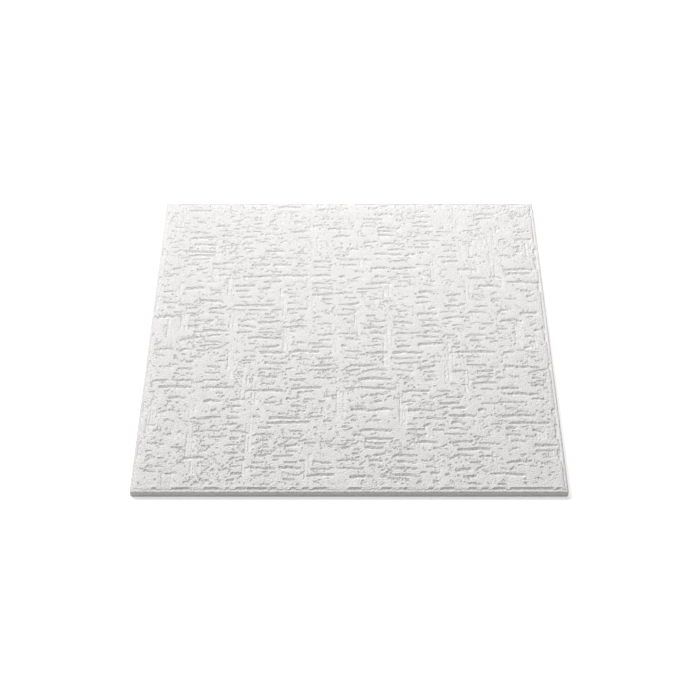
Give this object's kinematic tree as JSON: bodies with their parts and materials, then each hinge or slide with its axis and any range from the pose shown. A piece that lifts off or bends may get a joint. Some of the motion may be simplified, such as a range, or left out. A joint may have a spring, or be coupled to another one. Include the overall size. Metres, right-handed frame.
{
  "type": "polystyrene ceiling tile",
  "caption": "Square moulded polystyrene ceiling tile with a rough plaster-stroke relief, a narrow flat rim and a flat back for gluing.",
  "frame": {"origin": "middle of the flat back face", "axes": "+Z out of the back through the relief face, +Y from the near edge of the picture to the far edge, +X to the right"},
  "size_m": [0.5, 0.5, 0.01],
  "materials": {
    "foam": "matt white expanded polystyrene with a fine bead grain"
  },
  "bodies": {
    "root": {"tile": "foam"}
  },
  "joints": []
}
